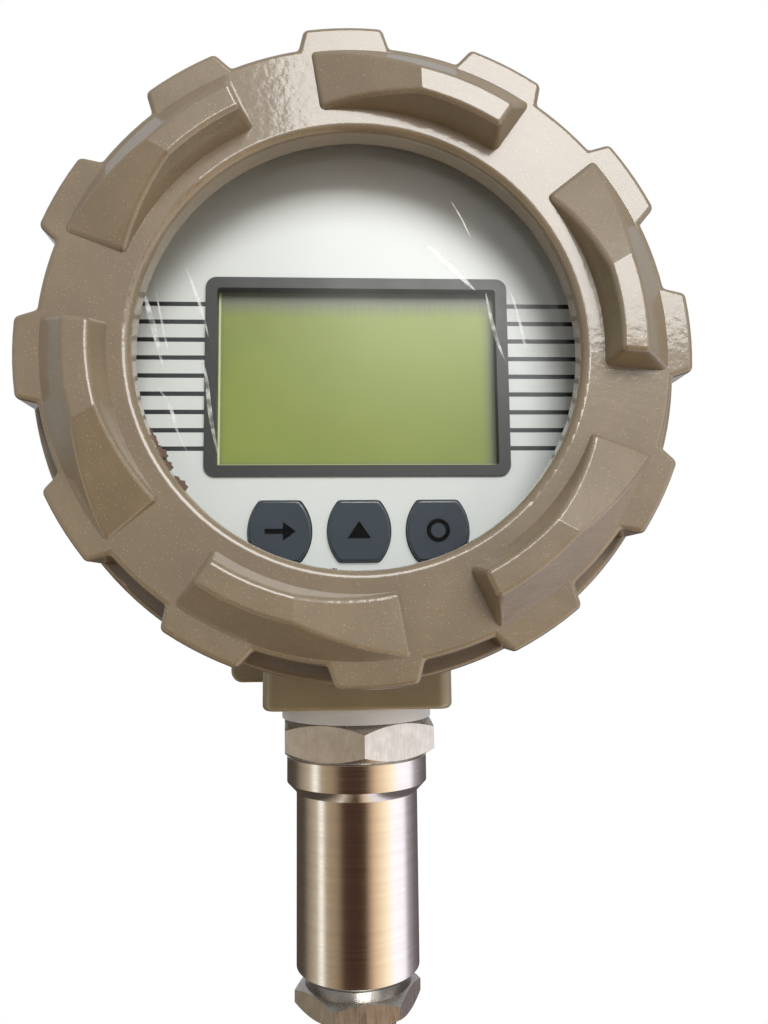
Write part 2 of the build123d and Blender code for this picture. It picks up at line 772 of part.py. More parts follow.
def keys_and_switches():
    """Three key caps with flanges behind the plate, their plungers and the switch bodies."""
    pieces, switches = {}, []
    for name, (x, y) in zip(key_names, key_places()):
        cap = slab(key_outline(0, key_corner), plate_depth - key_proud, flange_front_face)
        cap = fillet(cap.faces().sort_by(Axis.Z)[-1].edges(), key_edge)
        flange = slab(key_outline(key_flange, key_corner + key_flange), flange_front_face, flange_back_face)
        stem = disc(key_stem_radius, flange_back_face, plunger_front)
        well_bottom = switch_front + switch_well
        switch = Pos(0, 0, -(switch_front + board_front) / 2) * Box(switch_size, switch_size, switch_height)
        switch -= disc(plunger_radius + fit_gap, switch_front, well_bottom)
        plunger = disc(plunger_radius, plunger_front, plunger_front + plunger_length)
        pieces[name] = Pos(x, y) * (cap + flange + stem)
        pieces[name + "_plunger"] = Pos(x, y) * plunger
        switches.append(Pos(x, y) * switch)
    pieces["key_switches"] = Compound(children=switches)
    return pieces


def display_carrier():
    """Moulded frame behind the plate: web with openings, outer skirt, and a boss for each pillar."""
    web = Circle(carrier_radius) - rounded_window(
        display_width + 4 * fit_gap, display_height + 4 * fit_gap, view_corner + 2 * fit_gap
    )
    for x, y in key_places():
        grow = key_flange + key_gap
        web -= Pos(x, y) * key_outline(grow, key_corner + grow)
    web_back = plate_back + carrier_thickness
    frame = slab(web, plate_back, web_back)
    frame += ring(carrier_radius - carrier_wall, carrier_radius, web_back, board_back)
    for x, y in pillar_places:
        frame += disc(carrier_boss_radius, web_back, board_front, x, y)
    for x, y in pillar_places:
        frame -= disc(stud_radius + thread_gap, board_front - stud_length + board_thickness, board_front, x, y)
    return frame


def boards():
    """Display board and main board, drilled for the pillars, and the chips on the main board."""
    made = []
    for front, back in ((board_front, board_back), (main_front, main_back)):
        board = disc(board_radius, front, back)
        for x, y in pillar_places:
            board -= disc(stud_radius + fit_gap, front, back, x, y)
        made.append(board)
    chips = [
        Pos(x, y, -(main_front - thick / 2)) * Box(wide, tall, thick) for wide, tall, thick, x, y in chip_sizes
    ]
    return {"display_board": made[0], "main_board": made[1], "main_chips": Compound(children=chips)}


def pillars():
    """Hexagon pillars: the front set carries the display, the rear set stands on the partition."""
    front_set, rear_set = [], []
    for x, y in pillar_places:
        prism = RegularPolygon(pillar_flats / 2, 6, major_radius=False)
        body = Pos(x, y, -main_front) * extrude(prism, main_front - board_back)
        body += disc(stud_radius, board_back - stud_length, board_back, x, y)
        hole_front = main_front - stud_length + board_thickness
        body -= disc(stud_radius + thread_gap, hole_front - fit_gap, main_front, x, y)
        front_set.append(body)
        rear = Pos(x, y, -chamber_back) * extrude(prism, chamber_back - main_back)
        rear += disc(stud_radius, hole_front, main_back, x, y)
        rear += disc(stud_radius, chamber_back, chamber_back + rear_stud_length, x, y)
        rear_set.append(rear)
    return {"front_pillars": Compound(children=front_set), "rear_pillars": Compound(children=rear_set)}


def battery_pieces():
    """Lithium cell lying across the back of the main board in a moulded trough."""
    lie = Pos(0, cell_height, -cell_depth) * Rot(0, 90, 0)
    cell = chamfer(Cylinder(cell_radius, cell_length).edges(), holder_wall / 4)
    room = Cylinder(cell_radius + fit_gap, cell_length + 2 * fit_gap)
    wide = cell_length + 2 * holder_wall
    tall = 2 * (cell_radius + holder_wall)
    trough = Pos(0, cell_height, -(main_back + cell_depth) / 2) * Box(wide, tall, cell_depth - main_back)
    return {"battery_cell": lie * cell, "battery_holder": trough - lie * room}


def connector_and_lead():
    """Board connector and the pickup's lead, which rises loosely through the stem to it."""
    wide, tall, deep = connector_size
    connector = Pos(0, connector_height, -(main_back + deep / 2)) * Box(wide, tall, deep)
    entry_y = main_back + lead_entry_stand_off - lip_to_stem
    entry_z = head_axis + connector_height - tall / 2
    route = [
        (0, 0, chamber_top),
        (0, 0, chamber_top + 7),
        (0.5, 0.4, chamber_top + 30),
        (-0.6, 0.5, stem_top - 18),
        (0.2, -0.6, stem_top + 4),
        (0, entry_y, entry_z - 8),
        (0, entry_y, entry_z),
    ]
    points = [Vector(*point) for point in route]
    radii = []
    for before, here, after in zip(points, points[1:], points[2:]):
        turn = (here - before).get_angle(after - here)
        shorter = min((here - before).length, (after - here).length)
        radii.append(0.45 * shorter * cos(radians(turn / 2)) / sin(radians(turn / 2)))
    print("lead bend radii", [round(radius) for radius in radii])
    path = FilletPolyline(*points, radius=radii)
    start = Plane(origin=points[0], z_dir=points[1] - points[0])
    lead = sweep(start * Circle(lead_radius), path=path)
    print("lead volume against section times length", lead.volume, path.length * lead_radius**2 * 3.14159265)
    return connector, lead


def feedthrough():
    """Sealed bush through the partition."""
    front = chamber_back - feedthrough_flange_thickness
    bush = disc(feedthrough_flange, front, chamber_back, 0, feedthrough_height)
    return bush + disc(feedthrough_radius, chamber_back, partition_back, 0, feedthrough_height)


def terminals():
    """Terminal block on the back of the partition, with its clamp screws and wire holes."""
    wide, tall, deep = terminal_size
    back = partition_back + deep
    block = Pos(0, terminal_height, -(partition_back + deep / 2)) * Box(wide, tall, deep)
    screws = []
    for step in (-1, 0, 1):
        x = step * terminal_pitch
        hole_front = back - terminal_screw_depth
        block -= disc(terminal_screw_radius + fit_gap, hole_front - fit_gap, back, x, terminal_height)
        wire = Rot(90, 0, 0) * Cylinder(terminal_wire_radius, tall / 2)
        block -= Pos(x, terminal_height - tall / 4, -(hole_front - terminal_wire_radius - 1)) * wire
        screw = disc(terminal_screw_radius, hole_front, back - fit_gap, x, terminal_height)
        slot = Pos(x, terminal_height, -back) * Box(2 * terminal_screw_radius + 1, 0.6, 1.6)
        screws.append(screw - slot)
    return {"terminal_block": block, "terminal_screws": Compound(children=screws)}


def main():
    os.makedirs("parts", exist_ok=True)
    connector, lead = connector_and_lead()
    upright = {
        "stem_tube": stem_tube(),
        "nose_nut": hexagon(nose_nut_flats, nose_nut_height, nose_radius + thread_gap, nose_nut_turn),
        "neck_nut": Pos(0, 0, collar_top)
        * hexagon(neck_nut_flats, neck_nut_height, neck_thread_radius + thread_gap, neck_nut_turn),
        "neck_washer": neck_washer(),
        "signal_lead": lead,
        **pickup_pieces(),
    }
    in_head = {
        "housing": housing(),
        "front_cover": front_cover(),
        "rear_cover": rear_cover(),
        "cover_o_ring": cover_seal(flange_front, -1),
        "rear_cover_o_ring": cover_seal(rear_flange_back, 1),
        "cover_lock_screws": lock_screws(),
        "faceplate": faceplate(),
        "display_bezel": display_bezel(),
        "display_carrier": display_carrier(),
        "lead_connector": connector,
        "partition_feedthrough": feedthrough(),
        **window_pieces(),
        **entry_pieces(),
        **ground_pieces(),
        **display_pieces(),
        **keys_and_switches(),
        **boards(),
        **pillars(),
        **battery_pieces(),
        **terminals(),
    }
    for name, piece in upright.items():
        export_step(piece, f"parts/{name}.step")
    for name, piece in in_head.items():
        export_step(HEAD * piece, f"parts/{name}.step")


main()
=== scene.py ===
"""Looks for the flow sensor head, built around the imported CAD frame. Metres, the frame's own axes."""

import math

import bpy
from mathutils import Matrix, Vector


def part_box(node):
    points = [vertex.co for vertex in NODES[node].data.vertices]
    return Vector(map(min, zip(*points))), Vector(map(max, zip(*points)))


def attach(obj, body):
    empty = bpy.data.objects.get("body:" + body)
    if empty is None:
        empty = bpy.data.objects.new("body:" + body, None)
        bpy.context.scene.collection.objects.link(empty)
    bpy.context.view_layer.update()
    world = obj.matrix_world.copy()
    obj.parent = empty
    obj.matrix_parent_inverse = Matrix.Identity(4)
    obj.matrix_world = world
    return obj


MM = 0.001
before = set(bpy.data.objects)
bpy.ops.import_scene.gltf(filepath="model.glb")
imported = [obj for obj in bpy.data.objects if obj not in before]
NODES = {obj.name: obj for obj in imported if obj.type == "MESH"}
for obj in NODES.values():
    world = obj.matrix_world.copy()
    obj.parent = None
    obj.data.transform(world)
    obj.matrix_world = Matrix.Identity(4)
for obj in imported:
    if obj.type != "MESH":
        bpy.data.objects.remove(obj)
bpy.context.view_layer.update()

# The window's centre on the plane of its lip, behind the tops of the grip ribs
RIB_HEIGHT = 5.3 * MM
LIP_RADIUS = 37.5 * MM
cover_low, cover_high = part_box("front_cover")
LIP = Vector(((cover_low.x + cover_high.x) / 2, cover_low.y + RIB_HEIGHT, (cover_low.z + cover_high.z) / 2))


# Shader helpers

# The Mix node's colour sockets, by index because those for its other types share their names
MIX_SHARE, MIX_FIRST, MIX_SECOND, MIX_RESULT = 0, 6, 7, 2


def linear(red, green, blue):
    """Linear colour from 0 to 255 display values."""
    shares = [value / 255 for value in (red, green, blue)]
    return tuple(s / 12.92 if s <= 0.04045 else ((s + 0.055) / 1.055) ** 2.4 for s in shares)


def scaled(colour, factor):
    """A colour made darker or paler, never past white."""
    return [min(1, channel * factor) for channel in colour]


class Nodes:
    """The node tree of a material or a world, with short calls for the nodes used most."""

    def __init__(self, owner, kind):
        owner.use_nodes = True
        self.tree = owner.node_tree
        self.tree.nodes.clear()
        self.output = self.node("Output" + kind)
        self.coordinates = self.node("TexCoord").outputs

    def feed(self, socket, value):
        """Links an output into a socket, or sets the socket's own value."""
        if isinstance(value, bpy.types.NodeSocket):
            self.tree.links.new(value, socket)
        elif socket.type == "RGBA" and len(value) == 3:
            socket.default_value = (*value, 1)
        else:
            socket.default_value = value

    def node(self, kind, **inputs):
        """A node by its kind, each input a value or the output that feeds it."""
        made = self.tree.nodes.new("ShaderNode" + kind)
        for name, value in inputs.items():
            self.feed(made.inputs[name.replace("_", " ")], value)
        return made

    def math(self, operation, *values):
        """Result of a calculation with values or outputs."""
        made = self.node("Math")
        made.operation = operation
        for socket, value in zip(made.inputs, values):
            self.feed(socket, value)
        return made.outputs[0]

    def fade(self, value, start, end, low=0.0, high=1.0):
        """Smooth step of a value, from low at start to high at end."""
        made = self.node("MapRange", Value=value, From_Min=start, From_Max=end, To_Min=low, To_Max=high)
        made.interpolation_type = "SMOOTHSTEP"
        return made.outputs["Result"]

    def blend(self, share, first, second):
        """A shader node between two others."""
        made = self.node("MixShader")
        for socket, source in zip(made.inputs, (share, first.outputs[0], second.outputs[0])):
            self.feed(socket, source)
        return made

    def surface(self, shader):
        """Sends a shader node to the tree's output."""
        self.feed(self.output.inputs["Surface"], shader.outputs[0])


class Shader(Nodes):
    """One material's nodes, with textures laid out in object coordinates."""

    def __init__(self, name):
        self.material = bpy.data.materials.new(name)
        super().__init__(self.material, "Material")
        self.place = self.coordinates["Object"]

    def principled(self, **inputs):
        self.surface(self.node("BsdfPrincipled", **inputs))

    def stretched(self, scale):
        """Object coordinates multiplied by a scale on each axis."""
        return self.node("Mapping", Vector=self.place, Scale=scale).outputs[0]

    def noise(self, size, detail=2.0, roughness=0.5, vector=None):
        """Noise from 0 to 1 whose lumps are about size metres wide."""
        vector = vector or self.place
        made = self.node("TexNoise", Vector=vector, Scale=1 / size, Detail=detail, Roughness=roughness)
        return made.outputs["Fac"]

    def mix(self, share, first, second):
        """Colour between two others."""
        made = self.node("Mix")
        made.data_type = "RGBA"
        for index, value in ((MIX_SHARE, share), (MIX_FIRST, first), (MIX_SECOND, second)):
            self.feed(made.inputs[index], value)
        return made.outputs[MIX_RESULT]

    def bump(self, height, depth, onto=None):
        """Normal bent by a height, on top of another bump where one is given."""
        made = self.node("Bump", Height=height, Distance=depth, Strength=1.0)
        if onto:
            self.feed(made.inputs["Normal"], onto)
        return made.outputs[0]

    def axis(self, name):
        """One object coordinate."""
        return self.node("SeparateXYZ", Vector=self.place).outputs[name]

    def from_edge(self, name, edge, inward):
        """Distance from a plane across one axis, positive on its inner side."""
        return self.math("MULTIPLY", self.math("SUBTRACT", self.axis(name), edge), inward)


# Materials

FLAKE_CELL = 0.2 * MM
FLAKE_RADIUS = 0.36
FLAKE_STRENGTH = 0.6
FLAKE_COLOUR = linear(196, 176, 132)
PEEL_SIZE = 1.5 * MM
PEEL_DEPTH = 0.030 * MM
PEEL_FINE_SIZE = 0.5 * MM
PEEL_FINE_DEPTH = 0.006 * MM


def painted(name, colour, flakes, peel):
    """Baked enamel on die-cast metal under a clear top.

    flakes is the share of cells with a pale speck, and peel scales the depth of the orange peel.
    """
    s = Shader(name)
    broad = s.noise(9 * MM, 3)
    tone = s.mix(s.fade(broad, 0.35, 0.7), scaled(colour, 0.93), scaled(colour, 1.06))
    cells = s.node("TexVoronoi", Vector=s.place, Scale=1 / FLAKE_CELL)
    pick = s.node("SeparateColor", Color=cells.outputs["Color"]).outputs[0]
    chosen = s.math("GREATER_THAN", pick, 1 - flakes)
    dot = s.math("LESS_THAN", cells.outputs["Distance"], FLAKE_RADIUS)
    flake = s.math("MULTIPLY", chosen, dot)
    tone = s.mix(s.math("MULTIPLY", flake, FLAKE_STRENGTH), tone, FLAKE_COLOUR)
    lumps = s.noise(PEEL_SIZE, 1.5)
    fine = s.noise(PEEL_FINE_SIZE, 1.0)
    normal = s.bump(lumps, PEEL_DEPTH * peel, s.bump(fine, PEEL_FINE_DEPTH * peel))
    s.principled(
        Base_Color=tone,
        Roughness=0.42,
        Normal=normal,
        Coat_Weight=1.0,
        Coat_Roughness=0.11,
        Coat_Normal=normal,
    )
    return s.material


def turned_steel(name, colour):
    """Lathe-turned stainless: fine rings round the Z axis."""
    roughness = 0.16
    s = Shader(name)
    rings = s.noise(1.0, 3, 0.7, s.stretched((30, 30, 6000)))
    slow = s.noise(1.0, 2, 0.5, s.stretched((20, 20, 900)))
    tangent = s.node("Tangent")
    tangent.direction_type = "RADIAL"
    tangent.axis = "Z"
    s.principled(
        Base_Color=s.mix(s.fade(slow, 0.3, 0.7), scaled(colour, 0.94), colour),
        Metallic=1.0,
        Roughness=s.fade(rings, 0.3, 0.75, roughness * 0.8, roughness * 1.3),
        Anisotropic=0.8,
        Tangent=tangent.outputs[0],
        Normal=s.bump(rings, 0.001 * MM),
    )
    return s.material


def milled_steel(name, colour):
    """Bright hexagon bar with a faint drawn grain and small dents."""
    roughness = 0.3
    s = Shader(name)
    grain = s.noise(1.0, 4, 0.65, s.stretched((2500, 2500, 260)))
    cloud = s.noise(2.2 * MM, 3)
    tone = s.mix(s.fade(cloud, 0.35, 0.7), scaled(colour, 0.88), colour)
    rough = s.fade(grain, 0.3, 0.7, roughness * 0.8, roughness * 1.25)
    normal = s.bump(grain, 0.006 * MM, s.bump(cloud, 0.02 * MM))
    s.principled(Base_Color=tone, Metallic=1.0, Roughness=rough, Normal=normal)
    return s.material


def plastic(name, colour, roughness, grain=0.0, grain_size=0.3, coat=0.0, shift=0.05, ior=1.5):
    """Moulded plastic or rubber: shift is the change of tone, grain and grain_size are in mm."""
    s = Shader(name)
    cloud = s.noise(6 * MM, 2)
    tone = s.mix(s.fade(cloud, 0.3, 0.7), scaled(colour, 1 - shift), scaled(colour, 1 + shift))
    inputs = {}
    if grain:
        inputs["Normal"] = s.bump(s.noise(grain_size * MM, 2), grain * MM)
    rough = s.fade(cloud, 0.3, 0.7, roughness * 0.92, roughness * 1.08)
    s.principled(Base_Color=tone, Roughness=rough, IOR=ior, Coat_Weight=coat, Coat_Roughness=0.05, **inputs)
    return s.material


def plain_metal(name, colour, roughness):
    """Small metal pieces, slightly clouded."""
    s = Shader(name)
    cloud = s.noise(0.8 * MM, 3)
    tone = s.mix(s.fade(cloud, 0.3, 0.7), scaled(colour, 0.9), colour)
    s.principled(Base_Color=tone, Metallic=1.0, Roughness=roughness, Normal=s.bump(cloud, 0.004 * MM))
    return s.material


def clear_window(name):
    """Thin clear glass under a hazy film: it mirrors by its angle and lets the rest straight through."""
    s = Shader(name)
    haze = s.noise(11 * MM, 4, 0.6)
    mirror = s.node("BsdfGlossy", Color=(1, 1, 1), Roughness=s.fade(haze, 0.35, 0.75, 0.2, 0.3))
    through = s.node("BsdfTransparent", Color=(0.99, 1.0, 1.0))
    s.surface(s.blend(s.node("Fresnel", IOR=1.16).outputs[0], through, mirror))
    return s.material


def film_crease(name):
    """Pressed folds of the clear film, faintly white in patches."""
    s = Shader(name)
    white = s.node("BsdfPrincipled", Base_Color=(0.95, 0.97, 0.97), Roughness=0.25)
    through = s.node("BsdfTransparent", Color=(1, 1, 1))
    share = s.fade(s.noise(2.6 * MM, 3, 0.6), 0.35, 0.72, 0.04, 0.46)
    s.surface(s.blend(share, through, white))
    return s.material


BEZEL_BORDER = 2.1 * MM
# Grey of the painted shadow that the bezel casts on the display's edges
PAINTED_BEZEL_SHADOW = linear(108, 111, 92)
DISPLAY_RIM = linear(206, 210, 150)


def display_face(name):
    """Olive liquid crystal, a painted bezel shadow along its edges, widest at top and right, and a pale rim
    at left and bottom.
    """
    s = Shader(name)
    low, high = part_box("display_bezel")
    left, right = low.x + BEZEL_BORDER, high.x - BEZEL_BORDER
    bottom, top = low.z + BEZEL_BORDER, high.z - BEZEL_BORDER
    green = s.mix(s.fade(s.axis("X"), left, right), linear(127, 139, 50), linear(150, 164, 62))
    green = s.mix(s.fade(s.axis("Z"), bottom, top), linear(133, 146, 54), green)
    patch = s.fade(s.noise(9 * MM, 2), 0.35, 0.65)
    green = s.mix(s.math("MULTIPLY", patch, 0.35), green, linear(141, 154, 58))
    grain = s.noise(1.0, 2, 0.5, s.stretched((3500, 1, 60)))
    # Painted shadow of the bezel: widest along the top with a streaky edge, then the right, narrow at left
    # and bottom
    top_edge = s.math("ADD", s.from_edge("Z", top, -1), s.fade(grain, 0.3, 0.7, -0.3 * MM, 0.3 * MM))
    from_top = s.fade(top_edge, 1.0 * MM, 5.2 * MM)
    from_right = s.fade(s.from_edge("X", right, -1), -0.4 * MM, 3.0 * MM)
    from_left = s.fade(s.from_edge("X", left, 1), -0.6 * MM, 1.4 * MM)
    from_bottom = s.fade(s.from_edge("Z", bottom, 1), -0.6 * MM, 1.2 * MM)
    upper_right = s.math("MULTIPLY", from_top, from_right)
    lower_left = s.math("MULTIPLY", from_left, from_bottom)
    tone = s.mix(s.math("MULTIPLY", upper_right, lower_left), PAINTED_BEZEL_SHADOW, green)
    rim = s.math("MINIMUM", s.from_edge("X", left, 1), s.from_edge("Z", bottom, 1))
    tone = s.mix(s.fade(rim, 0.3 * MM, 0.45 * MM), DISPLAY_RIM, tone)
    s.principled(Base_Color=tone, Roughness=0.45, Coat_Weight=0.15, Coat_Roughness=0.25)
    return s.material


def plate_face(name):
    """White plate with a slight sheen, painted a little paler towards its upper right to lighten the ring's
    shadow there.
    """
    s = Shader(name)
    # Painted light: the plate grows paler towards its upper right, against the shadow the ring casts there
    slant = s.math("ADD", s.axis("X"), s.math("SUBTRACT", s.axis("Z"), LIP.z))
    tone = s.mix(s.fade(slant, -12 * MM, 50 * MM), linear(222, 224, 222), linear(230, 231, 230))
    s.principled(Base_Color=tone, Roughness=0.4, Coat_Weight=0.15, Coat_Roughness=0.3)
    return s.material


TAUPE = linear(126, 111, 88)
TAN = linear(158, 144, 110)

LOOKS = {
    "cover_enamel": painted("cover_enamel", TAUPE, 0.06, 1.0),
    "body_enamel": painted("body_enamel", TAN, 0.03, 0.8),
    "stem_steel": turned_steel("stem_steel", (0.64, 0.62, 0.6)),
    "nut_steel": milled_steel("nut_steel", (0.6, 0.57, 0.53)),
    "plug_steel": milled_steel("plug_steel", (0.62, 0.61, 0.6)),
    "screw_steel": plain_metal("screw_steel", (0.66, 0.66, 0.67), 0.25),
    "dark_screw": plain_metal("dark_screw", (0.09, 0.09, 0.1), 0.35),
    "ptfe": plastic("ptfe", linear(242, 243, 244), 0.38, 0.004, 0.8, shift=0.02),
    "window": clear_window("window"),
    "seal_red": plastic("seal_red", linear(98, 74, 60), 0.55, 0.02, 0.5, shift=0.15),
    "seal_black": plastic("seal_black", linear(26, 26, 27), 0.5, 0.004),
    "resin": plastic("resin", linear(70, 72, 74), 0.45, 0.01, 0.9),
    "plate": plate_face("plate"),
    "bezel": plastic("bezel", linear(46, 46, 45), 0.45, 0.002, 0.15, shift=0.04),
    "display": display_face("display"),
    "diffuser": plastic("diffuser", linear(225, 228, 215), 0.5),
    "key": plastic("key", linear(42, 52, 62), 0.2, coat=0.8, shift=0.06),
    "black_plastic": plastic("black_plastic", linear(32, 32, 33), 0.42, 0.004, 0.2),
    "board": plastic("board", linear(24, 84, 50), 0.3, 0.003, 0.5, coat=0.3, shift=0.1),
    "brass": plain_metal("brass", (0.72, 0.6, 0.36), 0.28),
    "copper": plain_metal("copper", (0.62, 0.28, 0.14), 0.3),
    "magnet": plain_metal("magnet", (0.35, 0.35, 0.36), 0.38),
    "cell": plastic("cell", linear(52, 98, 62), 0.3, coat=0.4),
    "lead": plastic("lead", linear(64, 64, 66), 0.45),
    "print": plastic("print", linear(38, 41, 43), 0.35, shift=0.12),
    "key_print": plastic("key_print", linear(4, 4, 5), 0.6, ior=1.1),
    "crease": film_crease("crease"),
}
NODE_LOOKS = {
    "front_cover": "cover_enamel",
    "rear_cover": "cover_enamel",
    "housing": "body_enamel",
    "window_glass": "window",
    "window_gasket": "seal_red",
    "window_potting": "resin",
    "cover_o_ring": "seal_black",
    "rear_cover_o_ring": "seal_black",
    "cover_lock_screws": "dark_screw",
    "faceplate": "plate",
    "display_bezel": "bezel",
    "display_glass": "display",
    "display_backlight": "diffuser",
    "display_carrier": "black_plastic",
    "display_board": "board",
    "key_switches": "black_plastic",
    "left_key": "key",
    "middle_key": "key",
    "right_key": "key",
    "left_key_plunger": "black_plastic",
    "middle_key_plunger": "black_plastic",
    "right_key_plunger": "black_plastic",
    "main_board": "board",
    "main_chips": "black_plastic",
    "front_pillars": "brass",
    "rear_pillars": "brass",
    "battery_cell": "cell",
    "battery_holder": "black_plastic",
    "lead_connector": "ptfe",
    "signal_lead": "lead",
    "partition_feedthrough": "resin",
    "terminal_block": "black_plastic",
    "terminal_screws": "screw_steel",
    "entry_plug": "plug_steel",
    "entry_seal": "seal_black",
    "ground_screw": "screw_steel",
    "ground_washer": "screw_steel",
    "neck_washer": "ptfe",
    "neck_nut": "nut_steel",
    "stem_tube": "stem_steel",
    "nose_nut": "nut_steel",
    "pickup_core": "magnet",
    "pickup_bobbin": "black_plastic",
    "pickup_winding": "copper",
    "pickup_magnet": "magnet",
    "pickup_potting": "resin",
}
for node_name, look in NODE_LOOKS.items():
    mesh = NODES[node_name].data
    mesh.materials.clear()
    mesh.materials.append(LOOKS[look])


# Camera, from the outlines of the window and the ring in the photograph

FOCAL_PX = 813.6
LONG_SIDE_PX = 1024
SENSOR_WIDTH = 36
CLIP_NEAR, CLIP_FAR = 0.01, 20
CAMERA_PLACE = LIP + Vector((-3.1, -130.85, -42.27)) * MM
YAW, PITCH, ROLL = (math.radians(angle) for angle in (3.0, 6.17, -0.63))


def make_camera():
    data = bpy.data.cameras.new("camera")
    data.sensor_width = SENSOR_WIDTH
    data.lens = FOCAL_PX / LONG_SIDE_PX * SENSOR_WIDTH
    data.clip_start, data.clip_end = CLIP_NEAR, CLIP_FAR
    camera = bpy.data.objects.new("camera", data)
    bpy.context.scene.collection.objects.link(camera)
    ahead = Vector((math.sin(YAW) * math.cos(PITCH), math.cos(YAW) * math.cos(PITCH), math.sin(PITCH)))
    level = Vector((math.cos(YAW), -math.sin(YAW), 0))
    up = level.cross(ahead)
    right = math.cos(ROLL) * level + math.sin(ROLL) * up
    up = -math.sin(ROLL) * level + math.cos(ROLL) * up
    turn = Matrix((right, up, -ahead)).transposed().to_4x4()
    camera.matrix_world = Matrix.Translation(CAMERA_PLACE) @ turn
    bpy.context.scene.camera = camera


# Lamps and room

LAMP_DISTANCE = 1.0
# Name, azimuth and elevation in degrees, width and height in metres, radiance, colour
LAMPS = (
    ("ceiling_panel", 14, 31, 0.56, 0.50, 9.2, (1.0, 0.985, 0.96)),
    ("side_panel", 46, 10, 0.4, 0.5, 1.3, (1.0, 0.99, 0.97)),
)


def direction(azimuth, elevation):
    """Unit vector from the window; azimuth 0 is the viewer's side, positive to the right."""
    a, e = math.radians(azimuth), math.radians(elevation)
    return Vector((math.sin(a) * math.cos(e), -math.cos(a) * math.cos(e), math.sin(e)))


def make_lamps():
    """Rectangular lamps that face the window; the power of each follows from the radiance wanted."""
    for name, azimuth, elevation, width, height, radiance, colour in LAMPS:
        data = bpy.data.lights.new(name, "AREA")
        data.shape = "RECTANGLE"
        data.size, data.size_y = width, height
        data.energy = radiance * math.pi * width * height
        data.color = colour
        lamp = bpy.data.objects.new(name, data)
        bpy.context.scene.collection.objects.link(lamp)
        towards = direction(azimuth, elevation)
        turn = towards.to_track_quat("Z", "Y").to_matrix().to_4x4()
        lamp.matrix_world = Matrix.Translation(LIP + towards * LAMP_DISTANCE) @ turn


# What the turned steel mirrors all round below eye level: (azimuth in degrees, display colour)
LOW_ROOM = (
    (-180, (58, 52, 48)),
    (-118, (66, 58, 50)),
    (-98, (140, 128, 110)),
    (-80, (170, 156, 132)),
    (-74, (255, 252, 244)),
    (-69, (255, 252, 244)),
    (-63, (150, 134, 108)),
    (-40, (140, 120, 96)),
    (-26, (60, 40, 30)),
    (14, (54, 34, 25)),
    (30, (204, 174, 142)),
    (58, (255, 236, 202)),
    (66, (250, 246, 250)),
    (96, (246, 244, 252)),
    (106, (150, 142, 146)),
    (130, (98, 90, 92)),
    (180, (58, 52, 48)),
)
LOW_ROOM_STRENGTH = 1.75
LOW_DIFFUSE_SHARE = 0.6
# Heights on the unit sphere where the low room starts and where it has fully taken over
LOW_ROOM_START, LOW_ROOM_FULL = -0.02, -0.16
ROOM_STRENGTH = 0.48
ROOM_COLOUR = (0.97, 0.985, 1.0)


def make_world():
    """Even room above eye level, the banded one below it, and plain white for the eye and through glass."""
    world = bpy.data.worlds.new("room")
    bpy.context.scene.world = world
    w = Nodes(world, "World")
    aim = w.node("SeparateXYZ", Vector=w.coordinates["Generated"]).outputs
    azimuth = w.math("ARCTAN2", aim["X"], w.math("MULTIPLY", aim["Y"], -1.0))
    ramp = w.node("ValToRGB", Fac=w.math("MULTIPLY_ADD", azimuth, 1 / (2 * math.pi), 0.5))
    stops = ramp.color_ramp.elements
    while len(stops) < len(LOW_ROOM):
        stops.new(0.5)
    for stop, (degrees, colour) in zip(stops, LOW_ROOM):
        stop.position = degrees / 360 + 0.5
        stop.color = (*linear(*colour), 1)
    room = w.node("Background", Color=ROOM_COLOUR, Strength=ROOM_STRENGTH)
    rays = w.node("LightPath").outputs
    dimmed = LOW_ROOM_STRENGTH * LOW_DIFFUSE_SHARE
    strength = w.node("MapRange", Value=rays["Is Diffuse Ray"], To_Min=LOW_ROOM_STRENGTH, To_Max=dimmed)
    low_room = w.node("Background", Color=ramp.outputs["Color"], Strength=strength.outputs["Result"])
    around = w.blend(w.fade(aim["Z"], LOW_ROOM_START, LOW_ROOM_FULL), room, low_room)
    seen = w.math("MAXIMUM", rays["Is Camera Ray"], rays["Is Transmission Ray"])
    white = w.node("Background", Color=(1, 1, 1), Strength=1.0)
    w.surface(w.blend(seen, around, white))


# Print on the faceplate and the keys, the film's folds, the seal's torn edge and the nose's thread


def make_piece(name, points, faces, look):
    """A mesh object with one look."""
    mesh = bpy.data.meshes.new(name)
    mesh.from_pydata(points, [], faces)
    mesh.update()
    made = bpy.data.objects.new(name, mesh)
    bpy.context.scene.collection.objects.link(made)
    mesh.materials.append(LOOKS[look])
    return made


def make_sheet(name, outlines, y, thickness, look, body="head"):
    """Flat shapes as one piece: each outline is a list of (x, z) in metres, its face at depth y."""
    points, faces = [], []
    for outline in outlines:
        start = len(points)
        count = len(outline)
        points += [(px, y, pz) for px, pz in outline]
        points += [(px, y + thickness, pz) for px, pz in outline]
        faces.append(tuple(start + i for i in range(count)))
        faces.append(tuple(start + count + i for i in reversed(range(count))))
        for i in range(count):
            j = (i + 1) % count
            faces.append((start + i, start + count + i, start + count + j, start + j))
    made = make_piece(name, points, faces, look)
    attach(made, body)


PRINT_THICKNESS = 0.03 * MM
# How many times thicker ink is than it stands proud, so that it sinks into what carries it
STRIPE_SINK = 1.2
MARK_SINK = 1.3
STRIPE_COUNT = 9
STRIPE_PITCH = 3.32 * MM
STRIPE_WIDTH = 0.8 * MM
STRIPE_TOP = 11.37 * MM
STRIPE_FROM_BEZEL = 0.05 * MM
STRIPE_FROM_RIM = 0.4 * MM


